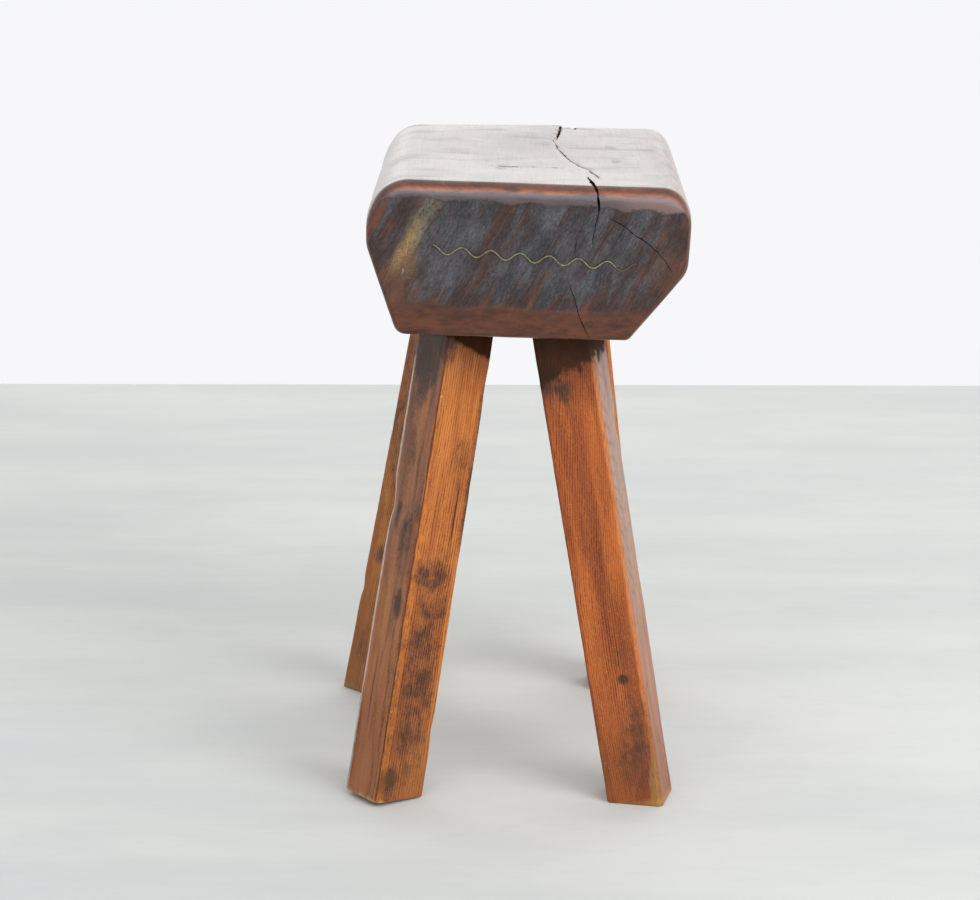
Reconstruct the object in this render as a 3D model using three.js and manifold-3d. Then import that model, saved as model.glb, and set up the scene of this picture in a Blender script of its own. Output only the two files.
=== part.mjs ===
// A rustic milking stool: a short, thick block of reclaimed timber stands on four splayed square posts.
// Each post is turned down to a round tenon that sits in a blind bore and is locked by a hidden fox wedge.
// A corrugated anti-split iron is driven into the front end grain of the block.
// Millimetres, +Z up, +X to the sitter's right, +Y to the rear. The origin is on the floor, under the
// middle of the stool's outer box.

import * as THREE from 'three';
import { mergeVertices } from 'three/addons/utils/BufferGeometryUtils.js';
import Module from 'manifold-3d';

const wasm = await Module();
wasm.setup();

// ---- Driving dimensions ----

const FIT_GAP = 0.3;             // clearance left between two pieces that touch

const SEAT = {
  length: 345,                   // along Y, with the grain
  centreHeight: 440,             // of the block's middle above the floor
  lean: 1.5,                     // degrees that the whole block tips down to the right
  topRound: 14,                  // roundover where the top meets each end
  endRound: 4,                   // roundover where the sides and underside meet each end
};

// Corners of the block's end, in order round it from the top left: [x, z, radius of the rounding].
// The flat top is at TOP and the underside at BOTTOM, measured from the block's middle.
const TOP = 58;
const BOTTOM = -61;
const SEAT_CORNERS = [
  [-126, TOP, 33],
  [-126, 8, 26],
  [-101, BOTTOM, 10],
  [78, BOTTOM, 6],
  [122, -6, 22],
  [124, TOP, 23],
];

const LEG = {
  edgeChamfer: 3,                // worn long edges
  tenonDiameter: 34,
  tenonLength: 70,               // from the shoulder into the block
};

const KERF = { depth: 46, mouth: 5, root: 1.6 };
const WEDGE = { length: 42, width: 31, stand: 1.7 };      // stand: how far the head passes the tenon's end

// Each post: where its centre line meets the floor and the height UNDERSIDE, how far the square is
// turned about that line, and how thick it is at the foot and at the shoulder. Every post is hewn by
// hand, so no two are alike. footCant tips the foot's cut from level towards square to the post.
const UNDERSIDE = 385;
const POSTS = [
  {
    name: 'leg_front_left',
    foot: [-116.4, -157],
    head: [-55.4, -116],
    turn: 37,
    footSide: 45.7,
    headSide: 44.2,
    footCant: 4,
  },
  {
    name: 'leg_front_right',
    foot: [90.5, -156],
    head: [28.5, -119],
    turn: -13,
    footSide: 44.7,
    headSide: 47.5,
    footCant: 0,
  },
  {
    name: 'leg_rear_left',
    foot: [-133.5, 124],
    head: [-60, 112],
    turn: 42,
    footSide: 45,
    headSide: 45,
    footCant: 0,
  },
  {
    name: 'leg_rear_right',
    foot: [80, 139],
    head: [39, 112],
    turn: 8,
    footSide: 46,
    headSide: 45,
    footCant: 0,
  },
];

const IRON = {
  length: 157,
  waves: 7,
  height: 6.4,                   // crest to trough
  thickness: 1.2,
  depth: 24,                     // how deep it is driven
  proud: 0.3,
  centre: [4, 1.6],              // on the front end, from the block's middle
  tilt: 3.8,                     // degrees, falling to the right along the block
};

const ARC_STEPS = 7;             // facets in each rounding of the block
const ROUND_SIDES = 36;          // facets round a tenon or a bore
const WAVE_STEPS = 10;           // facets along each wave of the iron
const CUTTER = 400;              // edge of a cutting block, longer than any post is thick

// ---- Helpers ----

function solid(geometry) {
  const bare = geometry.clone();
  bare.deleteAttribute('normal');
  bare.deleteAttribute('uv');
  const merged = mergeVertices(bare, 1e-4);
  const mesh = new wasm.Mesh({
    numProp: 3,
    vertProperties: new Float32Array(merged.attributes.position.array),
    triVerts: new Uint32Array(merged.index.array),
  });
  return new wasm.Manifold(mesh);
}

function geometryOf(manifold) {
  const mesh = manifold.getMesh();
  const geometry = new THREE.BufferGeometry();
  geometry.setAttribute('position', new THREE.BufferAttribute(new Float32Array(mesh.vertProperties), 3));
  geometry.setIndex(new THREE.BufferAttribute(new Uint32Array(mesh.triVerts), 1));
  return geometry;
}

function faceted(geometry) {
  const flat = geometry.index ? geometry.toNonIndexed() : geometry;
  flat.computeVertexNormals();
  return flat;
}

function timber(colour, roughness) {
  return new THREE.MeshStandardMaterial({ color: colour, roughness, metalness: 0 });
}

// A flat outline given as [across, up] points, made into a bar that is centred on X and runs along it.
function barAlongX(points, width) {
  const shape = new THREE.Shape(points.map(([across, up]) => new THREE.Vector2(across, up)));
  const bar = new THREE.ExtrudeGeometry(shape, { depth: width, bevelEnabled: false });
  bar.translate(0, 0, -width / 2);
  bar.applyMatrix4(new THREE.Matrix4().makeBasis(
    new THREE.Vector3(0, 1, 0), new THREE.Vector3(0, 0, 1), new THREE.Vector3(1, 0, 0)));
  return bar;
}

// ---- The block ----

// The corners of a convex outline after each side has moved inwards by its own inset. Side i runs from
// corner i to the next one, and the corners go anticlockwise as seen from the front. The roundings
// tighten with the inset, which has to stay below the smallest of them.
function insetCorners(corners, insets) {
  const count = corners.length;
  const sides = corners.map(([x, z], i) => {
    const [nextX, nextZ] = corners[(i + 1) % count];
    const run = new THREE.Vector2(nextX - x, nextZ - z).normalize();
    const inward = new THREE.Vector2(-run.y, run.x);
    const start = new THREE.Vector2(x, z).addScaledVector(inward, insets[i]);
    return { start, run };
  });
  return corners.map(([, , radius], i) => {
    const before = sides[(i + count - 1) % count];
    const after = sides[i];
    const between = after.start.clone().sub(before.start);
    const along = between.cross(after.run) / before.run.cross(after.run);
    const point = before.start.clone().addScaledVector(before.run, along);
    const tightened = radius - Math.min(insets[(i + count - 1) % count], insets[i]);
    return { point, radius: tightened };
  });
}

// Replaces every corner by an arc of its radius.
function roundedOutline(corners) {
  const count = corners.length;
  const outline = [];
  corners.forEach(({ point, radius }, i) => {
    const before = corners[(i + count - 1) % count].point.clone().sub(point).normalize();
    const after = corners[(i + 1) % count].point.clone().sub(point).normalize();
    const half = Math.acos(before.dot(after)) / 2;
    const centre = before.clone().add(after).normalize().multiplyScalar(radius / Math.sin(half)).add(point);
    const first = point.clone().addScaledVector(before, radius / Math.tan(half)).sub(centre);
    const sweep = Math.PI - 2 * half;
    for (let step = 0; step <= ARC_STEPS; step += 1) {
      const turned = first.clone().rotateAround(new THREE.Vector2(), sweep * step / ARC_STEPS);
      outline.push(turned.add(centre));
    }
  });
  return outline;
}

// How far a surface has dropped at a distance from the end, under a quarter-round of the given radius.
function roundoverDrop(distance, radius) {
  const left = Math.max(radius - distance, 0);
  return radius - Math.sqrt(radius * radius - left * left);
}

function seatBody() {
  const stations = [];
  for (let step = 0; step <= ARC_STEPS; step += 1) {
    stations.push(SEAT.topRound * (1 - Math.cos(Math.PI / 2 * step / ARC_STEPS)));
  }
  const fromFront = stations.map((distance) => ({ distance, y: distance - SEAT.length / 2 }));
  const fromRear = stations.map((distance) => ({ distance, y: SEAT.length / 2 - distance })).reverse();
  const rings = [...fromFront, ...fromRear].map(({ distance, y }) => {
    const side = roundoverDrop(distance, SEAT.endRound);
    const top = roundoverDrop(distance, SEAT.topRound);
    const insets = SEAT_CORNERS.map((corner, i) => (i === SEAT_CORNERS.length - 1 ? top : side));
    return roundedOutline(insetCorners(SEAT_CORNERS, insets)).map((p) => [p.x, y, p.y]);
  });

  const around = rings[0].length;
  const positions = rings.flat(2);
  const indices = [];
  for (let ring = 0; ring < rings.length - 1; ring += 1) {
    for (let i = 0; i < around; i += 1) {
      const a = ring * around + i;
      const b = ring * around + (i + 1) % around;
      indices.push(a, a + around, b, b, a + around, b + around);
    }
  }
  const last = (rings.length - 1) * around;
  for (let i = 1; i < around - 1; i += 1) {
    indices.push(0, i, i + 1);
    indices.push(last, last + i + 1, last + i);
  }
  const body = new THREE.BufferGeometry();
  body.setAttribute('position', new THREE.Float32BufferAttribute(positions, 3));
  body.setIndex(indices);
  return body;
}

// ---- The posts ----

// A post's own frame has its origin where the centre line meets the floor, and +Z up the line.
function postFrame(post) {
  const foot = new THREE.Vector3(post.foot[0], post.foot[1], 0);
  const head = new THREE.Vector3(post.head[0], post.head[1], UNDERSIDE);
  const up = head.clone().sub(foot).normalize();
  const turn = THREE.MathUtils.degToRad(post.turn);
  const across = new THREE.Vector3(Math.cos(turn), Math.sin(turn), 0);
  across.addScaledVector(up, -across.dot(up)).normalize();
  const depth = new THREE.Vector3().crossVectors(up, across);
  return new THREE.Matrix4().makeBasis(across, depth, up).setPosition(foot);
}

const SEAT_FRAME = new THREE.Matrix4()
  .makeRotationY(THREE.MathUtils.degToRad(SEAT.lean))
  .setPosition(0, 0, SEAT.centreHeight);

// Distance up a post's centre line to the block's underside.
function shoulderDistance(frame) {
  const foot = new THREE.Vector3().setFromMatrixPosition(frame);
  const up = new THREE.Vector3().setFromMatrixColumn(frame, 2);
  const normal = new THREE.Vector3().setFromMatrixColumn(SEAT_FRAME, 2);
  const onUnderside = new THREE.Vector3(0, 0, BOTTOM).applyMatrix4(SEAT_FRAME);
  return onUnderside.sub(foot).dot(normal) / up.dot(normal);
}

// A cutting block that fills everything above the block's underside, less the gap left to it.
function shoulderCutter() {
  const cutter = new THREE.BoxGeometry(CUTTER, CUTTER, CUTTER);
  cutter.translate(0, 0, BOTTOM - FIT_GAP + CUTTER / 2);
  return cutter.applyMatrix4(SEAT_FRAME);
}

// A cutting block under the foot. Its top is level, or canted about the foot's inner corner, which
// stays on the floor while the outer corner is lifted.
function footCutter(post) {
  const foot = new THREE.Vector3(post.foot[0], post.foot[1], 0);
  const head = new THREE.Vector3(post.head[0], post.head[1], 0);
  const outward = foot.clone().sub(head).normalize();
  const hinge = new THREE.Vector3().crossVectors(outward, new THREE.Vector3(0, 0, 1));
  const cant = new THREE.Matrix4().makeRotationAxis(hinge, THREE.MathUtils.degToRad(post.footCant));
  const toInnerCorner = post.footSide * Math.SQRT1_2;
  const innerCorner = foot.addScaledVector(outward, -toInnerCorner);
  const cutter = new THREE.BoxGeometry(CUTTER, CUTTER, CUTTER);
  cutter.translate(0, 0, -CUTTER / 2);
  return cutter.applyMatrix4(cant.setPosition(innerCorner));
}

// A square bar with chamfered edges, tapered in a straight line. It is drawn one unit wide and scaled,
// and it starts below the floor so that the foot can be cut.
function squarePost(post, length) {
  const chamfer = LEG.edgeChamfer / post.footSide;
  const inner = 0.5 - chamfer;
  const outline = [
    [0.5, -inner], [0.5, inner], [inner, 0.5], [-inner, 0.5],
    [-0.5, inner], [-0.5, -inner], [-inner, -0.5], [inner, -0.5],
  ];
  const shape = new THREE.Shape(outline.map(([x, y]) => new THREE.Vector2(x, y)));
  const bar = new THREE.ExtrudeGeometry(shape, { depth: length + post.footSide, bevelEnabled: false });
  bar.translate(0, 0, -post.footSide);
  const places = bar.attributes.position;
  for (let i = 0; i < places.count; i += 1) {
    const side = THREE.MathUtils.lerp(post.footSide, post.headSide, places.getZ(i) / length);
    places.setXY(i, places.getX(i) * side, places.getY(i) * side);
  }
  return bar;
}

function roundBar(diameter, from, to) {
  const bar = new THREE.CylinderGeometry(diameter / 2, diameter / 2, to - from, ROUND_SIDES);
  bar.rotateX(Math.PI / 2);
  bar.translate(0, 0, (from + to) / 2);
  return bar;
}

// The kerf and its wedge lie across the block's grain, so the wedge spreads the tenon along the grain.
function acrossGrain(geometry, post, height) {
  geometry.rotateZ(-THREE.MathUtils.degToRad(post.turn));
  geometry.translate(0, 0, height);
  return geometry;
}

// Half the kerf's width at a distance down from the tenon's end.
function kerfHalf(down) {
  return THREE.MathUtils.lerp(KERF.mouth, KERF.root, down / KERF.depth) / 2;
}

function kerf(post, tenonEnd) {
  const root = kerfHalf(KERF.depth);
  const over = 2 * WEDGE.stand;
  const mouth = kerfHalf(-over);
  const outline = [[-root, -KERF.depth], [root, -KERF.depth], [mouth, over], [-mouth, over]];
  return acrossGrain(barAlongX(outline, LEG.tenonDiameter * 1.1), post, tenonEnd);
}

function foxWedge(post, tenonEnd) {
  const tip = kerfHalf(WEDGE.length) - FIT_GAP;
  const head = kerfHalf(0) - FIT_GAP;
  const outline = [[-tip, -WEDGE.length], [tip, -WEDGE.length], [head, WEDGE.stand], [-head, WEDGE.stand]];
  return acrossGrain(barAlongX(outline, WEDGE.width), post, tenonEnd);
}

function makePost(post) {
  const frame = postFrame(post);
  const toPost = frame.clone().invert();
  const shoulder = shoulderDistance(frame);
  const root = shoulder - LEG.tenonDiameter;
  const tenonEnd = shoulder + LEG.tenonLength;
  const bar = solid(squarePost(post, shoulder + LEG.tenonDiameter))
    .subtract(solid(shoulderCutter().applyMatrix4(toPost)))
    .subtract(solid(footCutter(post).applyMatrix4(toPost)))
    .add(solid(roundBar(LEG.tenonDiameter, root, tenonEnd)))
    .subtract(solid(kerf(post, tenonEnd)));
  const boreEnd = tenonEnd + WEDGE.stand + FIT_GAP;
  const bore = roundBar(LEG.tenonDiameter + 2 * FIT_GAP, root, boreEnd).applyMatrix4(frame);
  return { frame, post: geometryOf(bar), wedge: foxWedge(post, tenonEnd), bore };
}

// ---- The anti-split iron ----

// A corrugated strip on edge, with a crest at its left end. Its own frame has X along the strip, Z across
// the waves and +Y inwards.
function corrugatedStrip(thickness, length, from, to) {
  const pitch = IRON.length / IRON.waves;
  const steps = IRON.waves * WAVE_STEPS;
  const edge = [[], []];
  for (let step = 0; step <= steps; step += 1) {
    const x = length * (step / steps - 0.5);
    const phase = 2 * Math.PI * (x + IRON.length / 2) / pitch;
    const slope = -Math.PI * IRON.height / pitch * Math.sin(phase);
    const normal = new THREE.Vector2(-slope, 1).normalize().multiplyScalar(thickness / 2);
    const middle = new THREE.Vector2(x, IRON.height / 2 * Math.cos(phase));
    edge[0].push(middle.clone().sub(normal));
    edge[1].push(middle.clone().add(normal));
  }
  const shape = new THREE.Shape([...edge[0], ...edge[1].reverse()]);
  const strip = new THREE.ExtrudeGeometry(shape, { depth: to - from, bevelEnabled: false });
  strip.rotateX(Math.PI / 2);
  strip.translate(0, to, 0);
  return strip;
}

const IRON_FRAME = SEAT_FRAME.clone().multiply(
  new THREE.Matrix4()
    .makeRotationY(THREE.MathUtils.degToRad(IRON.tilt))
    .setPosition(IRON.centre[0], -SEAT.length / 2, IRON.centre[1]));

// ---- Assembly ----

const stool = new THREE.Group();

function place(name, geometry, frame, material) {
  const mesh = new THREE.Mesh(faceted(geometry), material);
  mesh.name = name;
  mesh.applyMatrix4(frame);
  stool.add(mesh);
}

const SEAT_FINISH = timber(0x4a2a20, 0.45);
const POST_FINISH = timber(0x8a4219, 0.6);
const WEDGE_FINISH = timber(0xa06a3c, 0.75);
const IRON_FINISH = new THREE.MeshStandardMaterial({ color: 0x9a8d78, roughness: 0.45, metalness: 0.9 });

const madePosts = POSTS.map((post) => ({ name: post.name, ...makePost(post) }));

const toSeat = SEAT_FRAME.clone().invert();
const slotWidth = IRON.thickness + 2 * FIT_GAP;
const slotLength = IRON.length + 2 * FIT_GAP;
const slot = corrugatedStrip(slotWidth, slotLength, -2 * IRON.proud, IRON.depth + FIT_GAP);
slot.applyMatrix4(IRON_FRAME);
let block = solid(seatBody());
[...madePosts.map(({ bore }) => bore), slot].forEach((cutter) => {
  block = block.subtract(solid(cutter.applyMatrix4(toSeat)));
});
place('seat_block', geometryOf(block), SEAT_FRAME, SEAT_FINISH);
place('anti_split_iron', corrugatedStrip(IRON.thickness, IRON.length, -IRON.proud, IRON.depth), IRON_FRAME,
  IRON_FINISH);

madePosts.forEach(({ name, frame, post, wedge }) => {
  place(name, post, frame, POST_FINISH);
  place(name.replace('leg', 'fox_wedge'), wedge, frame, WEDGE_FINISH);
});

const outerBox = new THREE.Box3().setFromObject(stool, true);
const middle = outerBox.getCenter(new THREE.Vector3());
stool.position.set(-middle.x, -middle.y, -outerBox.min.z);

export default stool;
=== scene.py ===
"""A rustic milking stool: a thick block of reclaimed timber on four splayed square posts.

The block, the posts and the iron strip are rebuilt here as fine meshes in the places of their CAD
nodes. The block and each post are modelled in millimetres in a frame of their own, as in the CAD
model, and finish_piece turns them to metres in the row's frame.
"""

import math

import bpy
import numpy as np
from mathutils import Matrix, Vector
from mathutils.kdtree import KDTree


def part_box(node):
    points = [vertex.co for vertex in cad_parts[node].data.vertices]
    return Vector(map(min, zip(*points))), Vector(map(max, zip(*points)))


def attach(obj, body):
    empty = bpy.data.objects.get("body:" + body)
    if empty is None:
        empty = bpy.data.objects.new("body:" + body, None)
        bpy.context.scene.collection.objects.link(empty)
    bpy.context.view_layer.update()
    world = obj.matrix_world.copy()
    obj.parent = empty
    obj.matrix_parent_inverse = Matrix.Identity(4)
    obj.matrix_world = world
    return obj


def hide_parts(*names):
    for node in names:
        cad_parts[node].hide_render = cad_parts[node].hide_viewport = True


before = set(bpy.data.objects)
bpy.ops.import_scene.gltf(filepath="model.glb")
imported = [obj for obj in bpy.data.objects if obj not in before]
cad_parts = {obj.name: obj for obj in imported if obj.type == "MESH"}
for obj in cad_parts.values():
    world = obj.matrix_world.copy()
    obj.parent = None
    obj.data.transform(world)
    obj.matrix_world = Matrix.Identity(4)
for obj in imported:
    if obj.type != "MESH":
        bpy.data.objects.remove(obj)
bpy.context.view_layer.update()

MM = 0.001
BLOCK_SPACING, POST_SPACING = 1.95, 1.15    # between the points round each ring
BLOCK_RINGS, POST_RINGS = 140, 190          # along the block and along each post
FRONT_RINGS, REAR_RINGS = 62, 44            # across the ends of the block
SHARP = math.radians(42)                    # edges that turn by more than this stay sharp
BORE_SIDES = 48
LATTICE = 32                                # cells of noise along each axis before it repeats

# ---- Sizes, as in the CAD model ----

LENGTH = 345.0
TOP, BOTTOM = 58.0, -61.0
BLOCK_CORNERS = [(-126, TOP), (-126, 8), (-101, BOTTOM), (78, BOTTOM), (122, -6), (124, TOP)]
BLOCK_RADII = [33, 26, 10, 6, 22, 23]
END_RADIUS, SIDE_RADIUS = 14.0, 4.0
CENTRE_HEIGHT, LEAN = 440.0, math.radians(1.5)
UNDERSIDE = 385.0
TENON_RADIUS, TENON_LENGTH = 17.0, 70.0
GAP = 0.3
FOOT_ROUNDING = 1.6
# How far a bore's cutter reaches below the shoulder and past the tenon.
BORE_LEAD, BORE_REST = 34.0, 2.0

POSTS = {
    "front_left": dict(foot=(-116.4, -157), head=(-55.4, -116), turn=37, sides=(45.7, 44.2), cant=4),
    "front_right": dict(foot=(90.5, -156), head=(28.5, -119), turn=-13, sides=(44.7, 47.5), cant=0),
    "rear_left": dict(foot=(-133.5, 124), head=(-60, 112), turn=42, sides=(45, 45), cant=0),
    "rear_right": dict(foot=(80, 139), head=(39, 112), turn=8, sides=(46, 45), cant=0),
}

# ---- Noise and small mathematics ----


def lattice(seed):
    return np.random.default_rng(seed).random((LATTICE, LATTICE, LATTICE)) * 2 - 1


def value_noise(points, table):
    """Smooth noise in -1..1 at each point, one unit to a cell."""
    cell = np.floor(points).astype(int)
    part = points - cell
    part = part * part * (3 - 2 * part)
    total = np.zeros(points.shape[:-1])
    for corner in np.ndindex(2, 2, 2):
        at = (cell + corner) % LATTICE
        weight = np.prod(np.where(corner, part, 1 - part), axis=-1)
        total += weight * table[at[..., 0], at[..., 1], at[..., 2]]
    return total


def noise(points, size, seed, octaves=3):
    """Several octaves of noise. size is the width of the largest lumps, one number or one for each axis."""
    table = lattice(seed)
    scaled = points / np.asarray(size, float)
    total = np.zeros(points.shape[:-1])
    for octave in range(octaves):
        total += value_noise(scaled * 2**octave + 7.3 * octave, table) / 2**octave
    return total / 1.5


def smooth(value, low, high):
    t = np.clip((value - low) / (high - low), 0, 1)
    return t * t * (3 - 2 * t)


def bump(distance):
    """1 at distance 0, falling smoothly to 0 at about 2."""
    return np.exp(-(distance**2))


def turned(x, y, angle):
    """x and y after a turn by angle, anticlockwise."""
    return x * np.cos(angle) - y * np.sin(angle), x * np.sin(angle) + y * np.cos(angle)


def arc_drop(distance, radius):
    """How far a rounding of this radius has fallen away at a distance from where it ends."""
    left = np.maximum(radius - distance, 0)
    return radius - np.sqrt(radius**2 - left**2)


# ---- Meshes ----


def rounded_outline(corners, radii, insets, spacing):
    """Points round a convex outline with rounded corners. Side i, from corner i on, moves in by insets[i],
    and the roundings tighten with it. The number of points comes from the outline without insets, so
    every ring of a loft matches."""
    corners = np.asarray(corners, float)
    count = len(corners)
    run = np.roll(corners, -1, axis=0) - corners
    sizes = np.linalg.norm(run, axis=1)
    run /= sizes[:, None]
    start = corners + np.stack([-run[:, 1], run[:, 0]], axis=1) * np.asarray(insets)[:, None]
    points, arcs = [], []
    for i in range(count):
        before, after = run[i - 1], run[i]
        turn = before[0] * after[1] - before[1] * after[0]
        gap = start[i] - start[i - 1]
        along = (gap[0] * after[1] - gap[1] * after[0]) / turn
        point = start[i - 1] + before * along
        sweep = math.acos(np.clip(before @ after, -1, 1))
        radius = radii[i] - min(insets[i - 1], insets[i])
        inwards = np.array([-before[1], before[0]])
        centre = point - before * radius * math.tan(sweep / 2) + inwards * radius
        steps = max(int(round(radii[i] * sweep / spacing)), 2)
        angles = np.linspace(0, sweep, steps + 1)
        arc = np.stack(turned(*(-inwards * radius), angles), axis=1)
        arcs.append((arc + centre, radii[i] * math.tan(sweep / 2)))
    for i in range(count):
        arc, reach = arcs[i]
        following, following_reach = arcs[(i + 1) % count]
        steps = max(int(round((sizes[i] - reach - following_reach) / spacing)), 1)
        share = np.arange(1, steps)[:, None] / steps
        points += [arc, arc[-1] * (1 - share) + following[0] * share]
    return np.concatenate(points)


def new_mesh(name, verts, faces):
    mesh = bpy.data.meshes.new(name)
    mesh.from_pydata(verts, [], faces)
    mesh.update()
    return mesh


def loft(name, rings):
    """A closed mesh through rings of matching points. Each end closes on its ring's middle."""
    count, around = rings.shape[:2]
    verts = np.concatenate([rings.reshape(-1, 3), rings[:1].mean(axis=1), rings[-1:].mean(axis=1)])
    i = np.arange(around)
    j = (i + 1) % around
    quads = np.concatenate([
        np.stack([k * around + i, (k + 1) * around + i, (k + 1) * around + j, k * around + j], axis=1)
        for k in range(count - 1)])
    low, high = count * around, count * around + 1
    last = (count - 1) * around
    fans = np.concatenate([
        np.stack([np.full(around, low), i, j], axis=1),
        np.stack([np.full(around, high), last + j, last + i], axis=1)])
    return new_mesh(name, verts.tolist(), quads.tolist() + fans.tolist())


def tube(strings):
    """A closed solid between long strings of matching points, anticlockwise as seen from their far ends."""
    around, count = len(strings), len(strings[0])
    near = [a * count for a in range(around)]
    faces = [(a + k, b + k, b + k + 1, a + k + 1)
             for k in range(count - 1) for a, b in zip(near, near[1:] + near[:1])]
    faces += [tuple(near[::-1]), tuple(a + count - 1 for a in near)]
    return np.concatenate(strings), faces


def vectors(collection, key):
    flat = np.empty(len(collection) * 3)
    collection.foreach_get(key, flat)
    return flat.reshape(-1, 3)


def positions(mesh):
    return vectors(mesh.vertices, "co")


def normals(mesh):
    return vectors(mesh.vertex_normals, "vector")


def move(mesh, points):
    mesh.vertices.foreach_set("co", points.ravel())
    mesh.update()


def store(mesh, name, values):
    """Keeps one number or one vector for each vertex, for the materials to read."""
    kind, key = ("FLOAT", "value") if values.ndim == 1 else ("FLOAT_VECTOR", "vector")
    layer = mesh.attributes.get(name) or mesh.attributes.new(name, kind, "POINT")
    layer.data.foreach_set(key, values.astype(np.float32).ravel())


def add_object(name, data):
    made = bpy.data.objects.new(name, data)
    bpy.context.scene.collection.objects.link(made)
    return made


def cut(piece, cutter):
    """Takes the cutter's solids out of the piece, then removes the cutter."""
    modifier = piece.modifiers.new("cut", "BOOLEAN")
    modifier.operation = "DIFFERENCE"
    modifier.solver = "MANIFOLD"
    modifier.object = cutter
    bpy.context.view_layer.update()
    graph = bpy.context.evaluated_depsgraph_get()
    result = bpy.data.meshes.new_from_object(
        piece.evaluated_get(graph), preserve_all_data_layers=True, depsgraph=graph)
    piece.modifiers.clear()
    old = piece.data
    piece.data = result
    bpy.data.meshes.remove(old)
    bpy.data.objects.remove(cutter)


def stored(mesh, name):
    """The values kept by store."""
    layer = mesh.attributes[name]
    wide = 3 if layer.data_type == "FLOAT_VECTOR" else 1
    flat = np.empty(len(layer.data) * wide, dtype=np.float32)
    layer.data.foreach_get("vector" if wide == 3 else "value", flat)
    return flat.reshape(-1, 3) if wide == 3 else flat


def cut_block(block, cutter):
    """Cuts the block. The new vertices take their fields from the nearest vertex of the uncut block."""
    places = positions(block.data)
    before = {name: stored(block.data, name) for name in FIELDS}
    tree = KDTree(len(places))
    for i, place in enumerate(places):
        tree.insert(place, i)
    tree.balance()
    cut(block, cutter)
    points = positions(block.data)
    bare = np.flatnonzero(np.linalg.norm(stored(block.data, "facing"), axis=1) == 0)
    nearest = np.array([tree.find(points[i])[1] for i in bare])
    for name in FIELDS:
        values = stored(block.data, name)
        values[bare] = before[name][nearest]
        if name == "block_co":
            values[bare] += points[bare] - places[nearest]
        store(block.data, name, values)


def finish_piece(piece, name, node, place):
    """Puts a piece made in millimetres in its frame into the row's frame, in metres."""
    mesh = piece.data
    mesh.transform(Matrix.Scale(MM, 4) @ Matrix(place.tolist()))
    mesh.update()
    mesh.set_sharp_from_angle(angle=SHARP)
    mesh.polygons.foreach_set("use_smooth", [True] * len(mesh.polygons))
    piece.name = mesh.name = name
    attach(piece, "root")
    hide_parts(node)


# ---- The block ----

STREAK_LEAN = math.radians(27)      # how far the marks of the axe lean from upright on the ends
FIELDS = ("block_co", "inside_end", "relief", "near_crack", "facing")


def block_rings():
    around = lambda side, top: rounded_outline(BLOCK_CORNERS, BLOCK_RADII, [side] * 5 + [top], BLOCK_SPACING)
    half = LENGTH / 2
    edge = END_RADIUS * (1 - np.cos(np.linspace(0, math.pi / 2, 12)))
    between = np.linspace(END_RADIUS, LENGTH - END_RADIUS, BLOCK_RINGS)[1:-1]
    along = np.concatenate([edge, between, LENGTH - edge[::-1]])
    rings = []
    for y in along:
        end = min(y, LENGTH - y)
        flat = around(arc_drop(end, SIDE_RADIUS), arc_drop(end, END_RADIUS))
        rings.append(np.stack([flat[:, 0], np.full(len(flat), y - half), flat[:, 1]], axis=1))
    shrink = lambda ring, steps: [ring * (k / steps, 1, k / steps) for k in range(1, steps)]
    return np.array(shrink(rings[0], FRONT_RINGS) + rings + shrink(rings[-1], REAR_RINGS)[::-1])


def crack_line(y):
    """Where the long crack crosses the top, as x for a place y along the block."""
    places = [-173, -117, -74, -59, -32, 0, 37, 81, 156, 173]
    return np.interp(y, places, [50, 45, 47, 40, 33, 28, 23, 19, 27, 29])


def end_fields(points, sign, seed):
    """The weathered, axe-cut part of an end face. Returns how far inside its border a point lies, and the
    marks' relief in -1..1."""
    x, z = points[:, 0] * sign, points[:, 2]
    across, along = turned(x, z, STREAK_LEAN)
    flat = np.stack([across, along, np.full(len(x), 3.0 * seed)], axis=1)
    broad = noise(flat, (19, 160, 50), seed, 2)
    fine = noise(flat, (5, 90, 50), seed + 1, 2)
    relief = np.clip(1.3 * broad + 0.5 * fine, -1, 1)
    scallop = 3.4 * np.abs(np.sin(across / 13 + 1.3 * noise(flat, (40, 400, 50), seed + 2, 1)))
    upper = 41.5 - 0.026 * x + scallop
    lower = -38 + 5 * noise(flat, (26, 500, 50), seed + 3, 2)
    return np.minimum(upper - z, z - lower), relief


def near_crack(points):
    """1 beside the cracks, falling to 0 a few millimetres away."""
    nearest = np.full(len(points), 1e3)
    for path, _, _ in CRACKS:
        path = np.array(path)[:, :3]
        for start, end in zip(path, path[1:]):
            run = end - start
            share = np.clip(((points - start) @ run) / (run @ run), 0, 1)
            away = np.linalg.norm(points - start - share[:, None] * run, axis=1)
            nearest = np.minimum(nearest, away)
    return bump(nearest / 3.0)


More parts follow.
